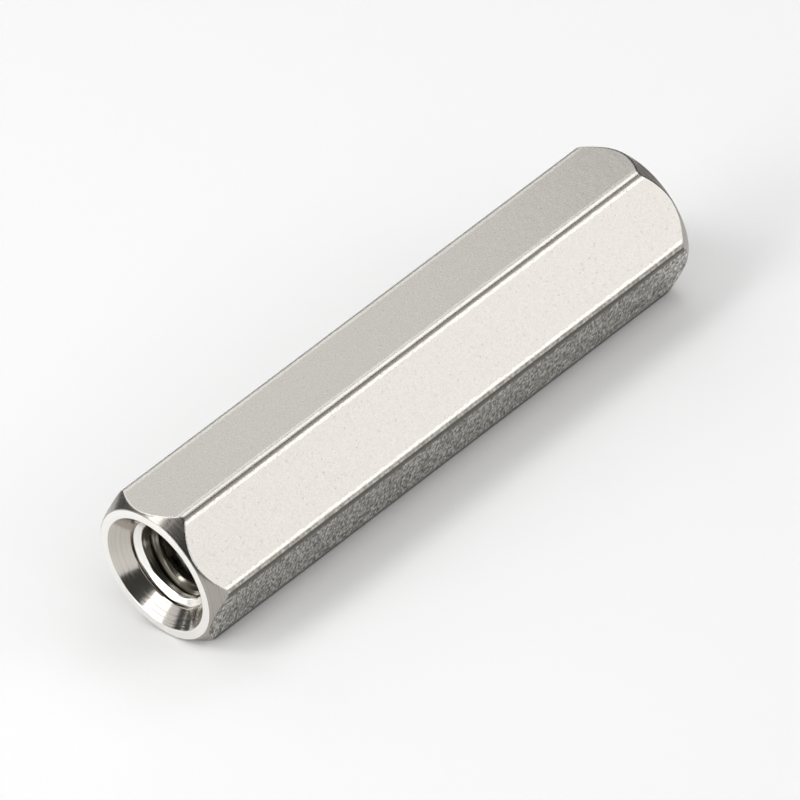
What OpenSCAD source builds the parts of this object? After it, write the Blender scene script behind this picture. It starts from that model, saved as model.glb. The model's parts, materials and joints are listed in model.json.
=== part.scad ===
/* [Bar] */
// Overall length, from end face to end face
length = 20; // [17:0.5:60]
// Width across flats of the hexagon
across_flats = 4.5; // [4.2:0.1:5]
// Radius of the six long edges, as the bar is drawn
edge_radius = 0.23; // [0.05:0.01:0.4]

/* [End chamfer] */
// Diameter of the flat end face, where the chamfer starts
end_face_d = 4.4; // [4:0.05:4.8]
// Angle between the chamfer's cone and the bar's axis
chamfer_angle = 34; // [15:1:60]

/* [Countersink] */
// Diameter of the countersink at the end face
countersink_d = 3.84; // [3.1:0.02:4.2]
// Angle between the countersink's wall and the axis
countersink_angle = 41; // [30:1:60]

/* [Lead-in] */
// Diameter of the short drilled step between countersink and thread
lead_in_d = 2.95; // [2.6:0.05:3.6]
// Depth of the step's straight wall, below the countersink
lead_in_depth = 0.1; // [0.05:0.01:1]

/* [Thread] */
// Diameter of the thread's entry, where a steep cone cuts back its first crest
thread_entry_d = 2.55; // [2.1:0.05:2.9]
// Angle between the entry's cone and the axis
thread_entry_angle = 30; // [20:1:50]
// Diameter of the tapping drill, which is the crest of the thread
tap_drill_d = 2.05; // [1.6:0.05:2.5]
// Depth of the tapping drill's straight wall, from the end face
drill_depth = 7.5; // [3:0.1:9]
// Angle of a drill's point, from side to side
drill_point_angle = 118; // [90:1:140]

/* [Hidden] */

// The bar lies along X on one of its flats, with the middle of that flat at the origin
axis_height = across_flats / 2;
half_length = length / 2;

// Each corner's arc is centred one radius in from both its flats, and runs into them smoothly
sector = 60;
corner_r = across_flats / 2 / cos(sector / 2);
arc_centre_r = (across_flats / 2 - edge_radius) / cos(sector / 2);

// The chamfer's cone is carried out past the corners, so that it cuts every flat and edge
past_corner = 0.5;
chamfer_r = corner_r + past_corner;
chamfer_depth = (chamfer_r - end_face_d / 2) / tan(chamfer_angle);

// Depths of the hole's steps, from the end face inwards
point_half_angle = drill_point_angle / 2;
countersink_depth = (countersink_d - lead_in_d) / 2 / tan(countersink_angle);
lead_in_end = countersink_depth + lead_in_depth;
thread_entry = lead_in_end + (lead_in_d - thread_entry_d) / 2 / tan(point_half_angle);
thread_start = thread_entry + (thread_entry_d - tap_drill_d) / 2 / tan(thread_entry_angle);
drill_tip = drill_depth + tap_drill_d / 2 / tan(point_half_angle);

// The countersink's cone is carried out past the end face, so that it opens cleanly
past_face = 0.2;
mouth_r = countersink_d / 2 + past_face * tan(countersink_angle);

curve_steps = 96;

// A point at a radius and an angle
function polar(r, angle) = r * [cos(angle), sin(angle)];

// Section of the drawn bar: flats between the points where the arcs begin, and an arc at each corner
module hex_section() {
    corners = [for (i = [0 : 5]) (i + 0.5) * sector];
    polygon([
        for (corner = corners)
            for (side = [-sector / 2, sector / 2])
                polar(arc_centre_r, corner) + polar(edge_radius, corner + side)
    ]);
    for (corner = corners)
        translate(polar(arc_centre_r, corner))
            circle(r = edge_radius, $fn = curve_steps);
}

// What the lathe leaves of the bar: a flat face and a chamfer at each end
module turned_ends() {
    rotate_extrude($fn = curve_steps)
        polygon([
            [0, -half_length],
            [end_face_d / 2, -half_length],
            [chamfer_r, chamfer_depth - half_length],
            [chamfer_r, half_length - chamfer_depth],
            [end_face_d / 2, half_length],
            [0, half_length]
        ]);
}

// One hole, from the end face at height 0 down: countersink, lead-in, thread's entry, tapping drill
module tapped_hole() {
    rotate_extrude($fn = curve_steps)
        polygon([
            [0, past_face],
            [mouth_r, past_face],
            [lead_in_d / 2, -countersink_depth],
            [lead_in_d / 2, -lead_in_end],
            [thread_entry_d / 2, -thread_entry],
            [tap_drill_d / 2, -thread_start],
            [tap_drill_d / 2, -drill_depth],
            [0, -drill_tip]
        ]);
}

// The standoff: drawn hexagon bar, turned at both ends, with a tapped hole in each end
module standoff() {
    color("#c8c4be")
        translate([0, 0, axis_height])
            rotate([0, 90, 0])
                difference() {
                    intersection() {
                        linear_extrude(height = length, center = true) hex_section();
                        turned_ends();
                    }
                    for (turn = [0, 180])
                        rotate([turn, 0, 0])
                            translate([0, 0, half_length])
                                tapped_hole();
                }
}

standoff();
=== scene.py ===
import cmath
import json
import math

import bpy
import numpy as np
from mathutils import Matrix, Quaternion, Vector


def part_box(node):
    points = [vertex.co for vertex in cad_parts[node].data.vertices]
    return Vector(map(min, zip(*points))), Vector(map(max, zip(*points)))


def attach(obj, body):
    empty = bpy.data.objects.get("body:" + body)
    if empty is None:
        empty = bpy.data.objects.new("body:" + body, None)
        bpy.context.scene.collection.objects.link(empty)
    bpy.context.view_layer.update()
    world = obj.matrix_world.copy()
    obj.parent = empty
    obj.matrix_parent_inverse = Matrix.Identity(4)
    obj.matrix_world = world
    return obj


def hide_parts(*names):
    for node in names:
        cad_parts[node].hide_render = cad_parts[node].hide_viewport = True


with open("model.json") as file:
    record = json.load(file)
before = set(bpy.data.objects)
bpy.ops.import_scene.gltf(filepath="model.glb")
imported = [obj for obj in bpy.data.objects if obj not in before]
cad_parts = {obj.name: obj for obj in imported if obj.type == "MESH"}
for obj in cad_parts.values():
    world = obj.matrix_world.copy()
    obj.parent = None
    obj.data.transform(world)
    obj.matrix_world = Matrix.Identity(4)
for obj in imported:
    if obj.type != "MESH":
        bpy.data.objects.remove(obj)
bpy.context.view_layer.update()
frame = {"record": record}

# Standoff: one length of drawn brass hexagon bar. Each end is turned to a chamfer and a flat ring, then
# countersunk, drilled and tapped, and the finished piece is nickel plated all over. It is modelled in
# millimetres round its own axis, X, in the order that it is made, and set in the frame at the end.
MM = 0.001
SIXTH = math.tau / 6
low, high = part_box("standoff")
middle = (low + high) / 2
length = (high.x - low.x) / MM
across_flats = (high.z - low.z) / MM
half_length = length / 2
flat_r = across_flats / 2
# Tumbling and plating leave the long edges a little softer than they are drawn
edge_radius = 0.26
end_face_r = 2.2
chamfer_angle = math.radians(34)


def add_node(tree, kind, inputs=(), output=0, **settings):
    """Adds a shader node and returns one of its outputs. Inputs that are sockets are linked."""
    node = tree.nodes.new("ShaderNode" + kind)
    for name, value in settings.items():
        setattr(node, name, value)
    for name, value in dict(inputs).items():
        if isinstance(value, bpy.types.NodeSocket):
            tree.links.new(value, node.inputs[name])
        else:
            node.inputs[name].default_value = value
    return node.outputs[output]


def linear(hex_colour):
    """Linear red, green, blue and alpha of an sRGB hex colour."""
    parts = [int(hex_colour[i:i + 2], 16) / 255 for i in (1, 3, 5)]
    return [p / 12.92 if p <= 0.04045 else ((p + 0.055) / 1.055) ** 2.4 for p in parts] + [1.0]


# A Mix node's colours are its inputs 6 and 7, and its mixed colour is output 2
FIRST, SECOND, MIXED = 6, 7, 2


def plated(name):
    """Nickel-plated metal: its material, nodes, shader, each spot in mm from the axis, and its radius."""
    material = bpy.data.materials.new(name)
    material.use_nodes = True
    tree = material.node_tree
    shader = tree.nodes["Principled BSDF"]
    shader.inputs["Metallic"].default_value = 1.0
    spot = add_node(tree, "Mapping", {
        "Vector": add_node(tree, "TexCoord", output="Object"),
        "Location": (0, 0, -flat_r),
        "Scale": (1 / MM, 1 / MM, 1 / MM),
    })
    across = add_node(tree, "VectorMath", {0: spot, 1: (0, 1, 1)}, operation="MULTIPLY")
    radius = add_node(tree, "VectorMath", {0: across}, "Value", operation="LENGTH")
    return material, tree, shader, spot, radius


# Drawn nickel plate: satin flats with a few shallow dents and pits from drawing and tumbling. One flat has
# kept the coarse skin of the die, which shows as salt and pepper between two edges coloured darker as
# painted shade. A ragged highlight line is painted along the margins of the flats.
dent_size = 0.3
dent_depth = 0.003
grain_size = 0.11
grain_depth = 0.001
pit_size = 0.09
pit_depth = 0.002
coarse_size = 0.075
coarse_depth = 0.015
coarse_stretch = 2.2
coarse_side = math.radians(210)
flat_tolerance = 0.005
painted_shade_line_width = 0.03
painted_shade_line_fade = 0.009
painted_shade_line_reach = 0.09
painted_highlight_width = 0.075
painted_highlight_wander = 0.05
half_painted_highlight_line = painted_highlight_width / 4
half_flat = (flat_r - edge_radius) * math.tan(SIXTH / 2)
flat_end_r = math.hypot(flat_r, half_flat)
painted_shade_line_end_r = math.hypot(flat_r, half_flat - painted_shade_line_reach)
edge_start = flat_r - edge_radius / 2
satin_smooth = 0.26
satin_rough = 0.285
# Values of the noise where a pit, a salt grain or the rougher satin begins and where it is complete
pit_rim = 0.66
pit_floor = 0.76
salt_begins = 0.42
salt_whole = 0.64
rough_begins = 0.3
rough_whole = 0.7
drawn_nickel, tree, shader, spot, radius = plated("drawn_nickel_plate")
dents = add_node(tree, "TexNoise", {"Vector": spot, "Scale": 1 / dent_size, "Detail": 1.0})
grain = add_node(tree, "TexNoise", {"Vector": spot, "Scale": 1 / grain_size, "Detail": 1.0})
pits = add_node(tree, "TexNoise", {"Vector": spot, "Scale": 1 / pit_size, "Detail": 2.0})
pit = add_node(tree, "MapRange", {
    "Value": pits, "From Min": pit_rim, "From Max": pit_floor, "To Min": 0, "To Max": -pit_depth,
}, interpolation_type="SMOOTHSTEP")

# The coarse skin stops short of the flat's edges, where a dark line of painted shade lies beside the
# edge's painted shade
towards_coarse = add_node(tree, "VectorMath", {
    0: spot,
    1: (0, math.cos(coarse_side), math.sin(coarse_side)),
}, "Value", operation="DOT_PRODUCT")
on_coarse = add_node(tree, "Math", {
    0: towards_coarse,
    1: flat_r - flat_tolerance,
}, operation="GREATER_THAN")
coarse = add_node(tree, "MapRange", {
    "Value": radius,
    "From Min": painted_shade_line_end_r - painted_shade_line_width,
    "From Max": painted_shade_line_end_r,
    "To Min": on_coarse,
    "To Max": 0,
}, interpolation_type="SMOOTHSTEP")
# Painted shade: the rounded edges beside the coarse flat are coloured darker
painted_shade_edge = add_node(tree, "MapRange", {
    "Value": towards_coarse,
    "From Min": edge_start,
    "From Max": edge_start + painted_shade_line_width,
}, interpolation_type="SMOOTHSTEP")
# Painted shade: a dark line along both edges of the coarse flat
painted_shade_line = add_node(tree, "MapRange", {
    "Value": towards_coarse,
    "From Min": flat_r - painted_shade_line_width - painted_shade_line_fade,
    "From Max": flat_r - painted_shade_line_width,
}, interpolation_type="SMOOTHSTEP")
stretched = add_node(tree, "VectorMath", {
    0: spot,
    1: (1, 1 / coarse_stretch, 1 / coarse_stretch),
}, operation="MULTIPLY")
speckle = add_node(tree, "TexNoise", {
    "Vector": stretched, "Scale": 1 / coarse_size, "Detail": 3.0, "Roughness": 0.7,
})

# The painted highlight lines lie beside the chamfer and just inside each rounded edge, ragged with the
# grain
along = add_node(tree, "SeparateXYZ", {"Vector": spot}, "X")
from_middle = add_node(tree, "Math", {0: along}, operation="ABSOLUTE")
chamfer_start = add_node(tree, "MapRange", {
    "Value": radius,
    "From Min": end_face_r,
    "From Max": end_face_r + math.tan(chamfer_angle),
    "To Min": half_length,
    "To Max": half_length - 1,
}, clamp=False)
to_chamfer = add_node(tree, "Math", {0: chamfer_start, 1: from_middle}, operation="SUBTRACT")
by_end = add_node(tree, "MapRange", {
    "Value": to_chamfer,
    "From Min": 0,
    "From Max": painted_highlight_width,
    "To Min": 1,
    "To Max": 0,
}, interpolation_type="SMOOTHSTEP")
# Painted highlight: a ragged bright line just inside each rounded edge
ragged_radius = add_node(tree, "Math", {0: grain, 1: painted_highlight_wander, 2: radius}, operation="MULTIPLY_ADD")
by_edge = add_node(tree, "Math", {
    0: ragged_radius,
    1: flat_end_r + painted_highlight_wander / 2 - half_painted_highlight_line,
    2: half_painted_highlight_line,
}, operation="COMPARE")
painted_highlight = add_node(tree, "Math", {0: by_end, 1: by_edge}, operation="MAXIMUM")

# Its colours are laid over each other: satin, painted highlight, the edges' painted shade, the painted
# shade line and coarse skin
salt = add_node(tree, "MapRange", {"Value": speckle, "From Min": salt_begins, "From Max": salt_whole})
salt_and_pepper = add_node(tree, "Mix", {
    "Factor": salt, FIRST: linear("#5a564f"), SECOND: linear("#f6f3ec"),
}, MIXED, data_type="RGBA")
# Painted shade colour for the edges beside the coarse flat, speckled like the skin
painted_shade_skin = add_node(tree, "Mix", {
    "Factor": salt, FIRST: linear("#99958e"), SECOND: linear("#d0ccc5"),
}, MIXED, data_type="RGBA")
colour = add_node(tree, "Mix", {
    "Factor": dents, FIRST: linear("#dcd8d1"), SECOND: linear("#dfdbd5"),
}, MIXED, data_type="RGBA")
# Painted highlight: near-white colour on the margins of the flats
colour = add_node(tree, "Mix", {
    "Factor": painted_highlight, FIRST: colour, SECOND: linear("#f5f1eb"),
}, MIXED, data_type="RGBA")
colour = add_node(tree, "Mix", {
    "Factor": painted_shade_edge, FIRST: colour, SECOND: painted_shade_skin,
}, MIXED, data_type="RGBA")
# The painted shade line's dark colour
colour = add_node(tree, "Mix", {
    "Factor": painted_shade_line, FIRST: colour, SECOND: linear("#64605a"),
}, MIXED, data_type="RGBA")
colour = add_node(tree, "Mix", {
    "Factor": coarse, FIRST: colour, SECOND: salt_and_pepper,
}, MIXED, data_type="RGBA")
sheen = add_node(tree, "MapRange", {
    "Value": grain,
    "From Min": rough_begins,
    "From Max": rough_whole,
    "To Min": satin_smooth,
    "To Max": satin_rough,
})
height = add_node(tree, "Math", {0: dents, 1: dent_depth, 2: pit}, operation="MULTIPLY_ADD")
height = add_node(tree, "Math", {0: grain, 1: grain_depth, 2: height}, operation="MULTIPLY_ADD")
skin = add_node(tree, "Math", {0: speckle, 1: coarse_depth}, operation="MULTIPLY")
height = add_node(tree, "Math", {0: coarse, 1: skin, 2: height}, operation="MULTIPLY_ADD")
bump = add_node(tree, "Bump", {"Height": height, "Strength": 1.0, "Distance": MM})
tree.links.new(colour, shader.inputs["Base Color"])
tree.links.new(sheen, shader.inputs["Roughness"])
tree.links.new(bump, shader.inputs["Normal"])

# Turned nickel plate is brighter and smoother than the drawn flats, with fine rings round the axis. The
# rings on the real piece are closer together, and are drawn as coarse as they need to be to show.
# The faced ring at the end is nearly white, the countersink is a warm mirror, and the chamfer is coloured
# darker as painted shade.
ring_hollow = 0.25
ring_crest = 0.75


def turned(name, dull, bright, feed, depth, smooth, rough):
    """Nickel plate over turned metal, with a ring from the cutting edge at each turn of the lathe."""
    material, tree, shader, spot, radius = plated(name)
    rings = add_node(tree, "TexNoise", {
        "W": radius, "Scale": 1 / feed, "Detail": 2.0,
    }, noise_dimensions="1D")
    colour = add_node(tree, "Mix", {
        "Factor": rings, FIRST: linear(dull), SECOND: linear(bright),
    }, MIXED, data_type="RGBA")
    sheen = add_node(tree, "MapRange", {
        "Value": rings, "From Min": ring_hollow, "From Max": ring_crest, "To Min": rough, "To Max": smooth,
    })
    height = add_node(tree, "Math", {0: rings, 1: depth}, operation="MULTIPLY")
    bump = add_node(tree, "Bump", {"Height": height, "Strength": 1.0, "Distance": MM})
    tree.links.new(colour, shader.inputs["Base Color"])
    tree.links.new(sheen, shader.inputs["Roughness"])
    tree.links.new(bump, shader.inputs["Normal"])
    return material


faced_nickel = turned(
    "faced_nickel_plate", dull="#f4f2ed", bright="#fcfaf6",
    feed=0.06, depth=0.002, smooth=0.14, rough=0.22,
)
countersunk_nickel = turned(
    "countersunk_nickel_plate", dull="#bdb7af", bright="#d2cdc6",
    feed=0.05, depth=0.0014, smooth=0.12, rough=0.19,
)
# Painted shade: the chamfer's plate is coloured darker than the other turned plate
chamfer_painted_shade = turned(
    "chamfer_painted_shade_plate", dull="#9f9a93", bright="#b1aca6",
    feed=0.05, depth=0.002, smooth=0.22, rough=0.30,
)

# Tapped nickel plate: the thread is a dull olive grey, which paints the shade down the small hole, torn
# round the axis by the tap, with bright patches, shifted into place, which paint the glints in the hole.
patch_size = 0.8
patch_shift = (2.9, 0.8, 1.2)
tear_size = 0.05
tear_depth = 0.0012
tear_share = 0.3
dark_rough = 0.34
glint_rough = 0.2
# Values of the noise where a painted glint begins and where it is full
glint_begins = 0.6
glint_full = 0.8
tapped_shade_and_glints, tree, shader, spot, radius = plated("tapped_shade_and_glints_plate")
shifted = add_node(tree, "VectorMath", {0: spot, 1: patch_shift}, operation="ADD")
patches = add_node(tree, "TexNoise", {"Vector": shifted, "Scale": 1 / patch_size, "Detail": 1.0})
tears = add_node(tree, "TexNoise", {
    "W": radius, "Scale": 1 / tear_size, "Detail": 2.0,
}, noise_dimensions="1D")
torn_patches = add_node(tree, "Math", {0: tears, 1: tear_share, 2: patches}, operation="MULTIPLY_ADD")
glint_patch = add_node(tree, "MapRange", {
    "Value": torn_patches, "From Min": glint_begins, "From Max": glint_full,
}, interpolation_type="SMOOTHSTEP")
# Painted shade in the hole's dark olive grey, painted glints in its bright patches
colour = add_node(tree, "Mix", {
    "Factor": glint_patch, FIRST: linear("#565249"), SECOND: linear("#d2cdc2"),
}, MIXED, data_type="RGBA")
sheen = add_node(tree, "MapRange", {"Value": glint_patch, "To Min": dark_rough, "To Max": glint_rough})
height = add_node(tree, "Math", {0: tears, 1: tear_depth}, operation="MULTIPLY")
bump = add_node(tree, "Bump", {"Height": height, "Strength": 1.0, "Distance": MM})
tree.links.new(colour, shader.inputs["Base Color"])
tree.links.new(sheen, shader.inputs["Roughness"])
tree.links.new(bump, shader.inputs["Normal"])

# The drawn section is a hexagon with rounded edges. Its points stand closest together over the edges.
EDGE_STEPS = 10
FLAT_STEPS = 16
edge_centre = (flat_r - edge_radius) / math.cos(SIXTH / 2)
section = []
for edge in range(6):
    turn = edge * SIXTH
    for step in range(EDGE_STEPS + 1):
        lean = SIXTH * (step / EDGE_STEPS - 0.5)
        section.append(cmath.rect(edge_centre, turn) + cmath.rect(edge_radius, turn + lean))
    flat_start = section[-1]
    flat_end = cmath.rect(edge_centre, turn + SIXTH) + cmath.rect(edge_radius, turn + SIXTH / 2)
    for step in range(1, FLAT_STEPS):
        section.append(flat_start + (flat_end - flat_start) * step / FLAT_STEPS)

# Each end is turned and bored to this profile, given as depths below the end face and radii. Tumbling
# and plating then leave every corner of it a little soft, the two outermost a little more.
countersink_r = 1.92
countersink_angle = math.radians(41)
lead_in_r = 1.475
lead_in_depth = 0.1
point_angle = math.radians(59)
thread_entry_r = 1.275
thread_entry_angle = math.radians(30)
tap_drill_r = frame["record"]["mounts"][0]["dims"]["r_mm"]
drill_depth = 7.5
bore_softness = 0.035
end_softness = 0.045
softness = [bore_softness] * 6 + [end_softness] * 2
SOFT_STEPS = np.linspace(-1, 1, 6)
SOFT_WINDOW = np.linspace(-1, 1, 9)
countersink_depth = (countersink_r - lead_in_r) / math.tan(countersink_angle)
lead_in_end = countersink_depth + lead_in_depth
thread_entry = lead_in_end + (lead_in_r - thread_entry_r) / math.tan(point_angle)
thread_start = thread_entry + (thread_entry_r - tap_drill_r) / math.tan(thread_entry_angle)
drill_tip = drill_depth + tap_drill_r / math.tan(point_angle)


def end_profile(bar_r):
    """Depths and radii from the drill's tip to mid-bar, along a line where the bar has a given radius."""
    corners = np.array([
        (drill_tip, 0),
        (drill_depth, tap_drill_r),
        (thread_start, tap_drill_r),
        (thread_entry, thread_entry_r),
        (lead_in_end, lead_in_r),
        (countersink_depth, lead_in_r),
        (0, countersink_r),
        (0, end_face_r),
        ((bar_r - end_face_r) / math.tan(chamfer_angle), bar_r),
        (half_length, bar_r),
    ])
    run = np.concatenate([[0], np.cumsum(np.hypot(*np.diff(corners, axis=0).T))])
    halfway = (run[1:] + run[:-1]) / 2
    # Each point near a corner is the mean of the sharp profile a little way to both sides
    near = []
    for i, soft in enumerate(softness, 1):
        steps = np.clip(run[i] + soft * SOFT_STEPS, halfway[i - 1], halfway[i])
        near.append(np.add.outer(steps, soft * SOFT_WINDOW))
    near = np.concatenate(near)
    softened = np.stack([np.interp(near, run, side).mean(axis=1) for side in corners.T], axis=1)
    return np.concatenate([corners[:1], softened, corners[-1:]])


# A flat grid is rolled into the bar: its rows run from one drill's tip to the other's, over the outside.
# Each stretch between two corners of the profile has the finish of the cut that made it.
GRID = 1.0
weld = 0.0005
finishes = [tapped_shade_and_glints] * 3 + [faced_nickel] + [countersunk_nickel] * 2
finishes += [faced_nickel, chamfer_painted_shade, drawn_nickel]
metals = [drawn_nickel, faced_nickel, countersunk_nickel, chamfer_painted_shade, tapped_shade_and_glints]
profiles = [end_profile(abs(point)) for point in section]
half_rows = len(profiles[0]) - 1
rows = 2 * half_rows
columns = len(section)
bpy.ops.object.select_all(action="DESELECT")
bpy.ops.mesh.primitive_grid_add(x_subdivisions=rows, y_subdivisions=columns, size=GRID)
standoff = bpy.context.object
standoff.name = "plated_standoff"
for metal in metals:
    standoff.data.materials.append(metal)
for face in standoff.data.polygons:
    row = (face.center.x / GRID + 0.5) * rows
    row = int(min(row, rows - row))
    finish = finishes[(row + len(SOFT_STEPS) // 2) // len(SOFT_STEPS)]
    face.material_index = metals.index(finish)
for vertex in standoff.data.vertices:
    row = round((vertex.co.x / GRID + 0.5) * rows)
    column = round((vertex.co.y / GRID + 0.5) * columns) % columns
    depth, from_axis = profiles[column][min(row, rows - row)]
    place = depth - half_length if row < half_rows else half_length - depth
    around = cmath.rect(from_axis, cmath.phase(section[column]))
    vertex.co = (place, around.real, around.imag)
bpy.ops.object.mode_set(mode="EDIT")
bpy.ops.mesh.select_all(action="SELECT")
bpy.ops.mesh.remove_doubles(threshold=weld)
bpy.ops.mesh.normals_make_consistent(inside=False)
bpy.ops.object.mode_set(mode="OBJECT")

# A tap cuts the M2.5 thread, as a ridge with 60 degree flanks that winds down each hole. The
# ridge's base lies a little within the drilled hole, so that the cut is clean.
pitch = 0.45
major_r = 1.25
flank_angle = math.radians(30)
THREAD_STEPS = 64
THREAD_TURNS = 14
# Depth of the ridge's middle below the end face, where it starts
tap_entry = 0.67
ridge_overlap = 0.06
ridge_base_r = tap_drill_r - ridge_overlap
ridge_tip = pitch / 16
ridge_base = ridge_tip + (major_r - ridge_base_r) * math.tan(flank_angle)
ridge_start = tap_entry - half_length
ridge_corners = {
    (-1, -1): (ridge_start - ridge_base, ridge_base_r),
    (1, -1): (ridge_start + ridge_base, ridge_base_r),
    (-1, 1): (ridge_start - ridge_tip, major_r),
    (1, 1): (ridge_start + ridge_tip, major_r),
}
for side in (-1, 1):
    bpy.ops.object.select_all(action="DESELECT")
    bpy.ops.mesh.primitive_plane_add(size=1)
    tap = bpy.context.object
    tap.data.materials.append(tapped_shade_and_glints)
    for vertex in tap.data.vertices:
        place, from_axis = ridge_corners[round(2 * vertex.co.x), round(2 * vertex.co.y)]
        vertex.co = (place, 0, from_axis)
    bpy.ops.object.mode_set(mode="EDIT")
    bpy.ops.mesh.select_all(action="SELECT")
    bpy.ops.mesh.delete(type="ONLY_FACE")
    bpy.ops.object.mode_set(mode="OBJECT")
    screw = tap.modifiers.new("screw", "SCREW")
    screw.axis = "X"
    screw.screw_offset = pitch
    screw.iterations = THREAD_TURNS
    screw.steps = screw.render_steps = THREAD_STEPS
    bpy.ops.object.modifier_apply(modifier=screw.name)
    bpy.ops.object.mode_set(mode="EDIT")
    bpy.ops.mesh.select_all(action="SELECT")
    bpy.ops.mesh.fill_holes(sides=4)
    bpy.ops.mesh.normals_make_consistent(inside=False)
    if side > 0:
        bpy.ops.transform.rotate(value=math.pi, orient_axis="Z", center_override=(0, 0, 0))
    bpy.ops.object.mode_set(mode="OBJECT")
    boolean = standoff.modifiers.new("tap", "BOOLEAN")
    boolean.operation = "DIFFERENCE"
    boolean.solver = "EXACT"
    boolean.material_mode = "TRANSFER"
    boolean.object = tap
    bpy.context.view_layer.objects.active = standoff
    bpy.ops.object.modifier_apply(modifier=boolean.name)
    bpy.data.objects.remove(tap)

# The finished bar is shaded smooth over its soft corners, with the flats kept flat, and set in the frame
crease = math.radians(28)
bpy.ops.object.select_all(action="DESELECT")
standoff.select_set(True)
bpy.context.view_layer.objects.active = standoff
bpy.ops.object.shade_smooth_by_angle(angle=crease)
weighted = standoff.modifiers.new("weighted", "WEIGHTED_NORMAL")
weighted.keep_sharp = True
weighted.weight = 100
bpy.ops.object.modifier_apply(modifier=weighted.name)
standoff.scale = (MM, MM, MM)
standoff.location = middle
bpy.ops.object.transform_apply(location=True, rotation=True, scale=True)
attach(standoff, "root")
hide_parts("standoff")

# Floor: a large sheet of plain white card, matt and with no gloss, which the bar lies on.
floor_size = 1.0
bpy.ops.object.select_all(action="DESELECT")
bpy.ops.mesh.primitive_plane_add(size=floor_size)
floor = bpy.context.object
floor.name = "floor"
card = bpy.data.materials.new("white_card")
card.use_nodes = True
card_shader = card.node_tree.nodes["Principled BSDF"]
card_shader.inputs["Base Color"].default_value = linear("#fcfcfc")
card_shader.inputs["Roughness"].default_value = 1.0
card_shader.inputs["Specular IOR Level"].default_value = 0.0
floor.data.materials.append(card)

# Light: small softboxes all round in a dim studio, which the plate mirrors, and one large key lamp that
# lights the card and doesn't show in the plate. Their distances and sizes are in metres.
studio_level = 0.06
scene = bpy.context.scene
world = bpy.data.worlds.new("studio")
scene.world = world
world.use_nodes = True
world.node_tree.nodes["Background"].inputs["Color"].default_value = linear("#ffffff")
world.node_tree.nodes["Background"].inputs["Strength"].default_value = studio_level


def outwards(azimuth, elevation):
    """A unit vector away from the bar. The angles are in degrees, with azimuth from +X towards +Y."""
    turn = math.radians(azimuth)
    rise = math.radians(elevation)
    return Vector((math.cos(rise) * math.cos(turn), math.cos(rise) * math.sin(turn), math.sin(rise)))


def softbox(name, azimuth, elevation, width, height, brightness, distance=0.15, shows=True):
    """An area lamp facing the standoff. At a brightness of 1 it looks as bright as white card."""
    lamp = bpy.data.lights.new(name, "AREA")
    lamp.shape = "RECTANGLE"
    lamp.size = width
    lamp.size_y = height
    lamp.energy = brightness * math.pi * width * height
    holder = bpy.data.objects.new(name, lamp)
    out = outwards(azimuth, elevation)
    holder.location = middle + out * distance
    holder.rotation_euler = out.to_track_quat("Z", "Y").to_euler()
    holder.visible_camera = False
    holder.visible_glossy = shows
    scene.collection.objects.link(holder)


softbox("front_right", -57, 15.8, width=0.12, height=0.06, brightness=1.27)
softbox("front_left", -97, 27, width=0.03, height=0.05, brightness=2.0)
softbox("front_top", -48, 42, width=0.08, height=0.05, brightness=0.36)
softbox("back", 75, 33, width=0.13, height=0.08, brightness=0.80)
softbox("back_top", 19, 55.5, width=0.105, height=0.064, brightness=1.6)
softbox("back_high", 90, 59, width=0.05, height=0.04, brightness=2.2)
softbox("left", 168, 20, width=0.10, height=0.12, brightness=2.6)
softbox("left_low", 130, 8, width=0.10, height=0.034, brightness=1.3)
softbox("left_high", 133, 36, width=0.06, height=0.05, brightness=0.8)
softbox("left_top", 150, 58, width=0.06, height=0.06, brightness=4.0)
softbox("key", -90, 50, width=0.5, height=0.4, brightness=1.23, distance=0.35, shows=False)

# Camera: a long lens that looks down on the near end, rolled as the photograph is. The middle of the bar
# is seen at a given pixel, and the width across flats there is a given number of pixels.
PICTURE = 800
SENSOR = 36
focal_pixels = 12602
pixels_per_flat = 155.18
seen_at = (397.7, 390.7)
towards_camera = outwards(233.138, 35.58)
roll = math.radians(-13.635)
camera_data = bpy.data.cameras.new("camera")
camera_data.sensor_width = SENSOR
camera_data.lens = SENSOR * focal_pixels / PICTURE
camera = bpy.data.objects.new("camera", camera_data)
scene.collection.objects.link(camera)
pixel = across_flats * MM / pixels_per_flat
aim = towards_camera.to_track_quat("Z", "Y") @ Quaternion((0, 0, 1), roll)
camera.rotation_mode = "QUATERNION"
camera.rotation_quaternion = aim
camera.location = middle + aim @ Vector((
    (PICTURE / 2 - seen_at[0]) * pixel,
    (seen_at[1] - PICTURE / 2) * pixel,
    focal_pixels * pixel,
))
scene.camera = camera
scene.view_settings.view_transform = "Standard"
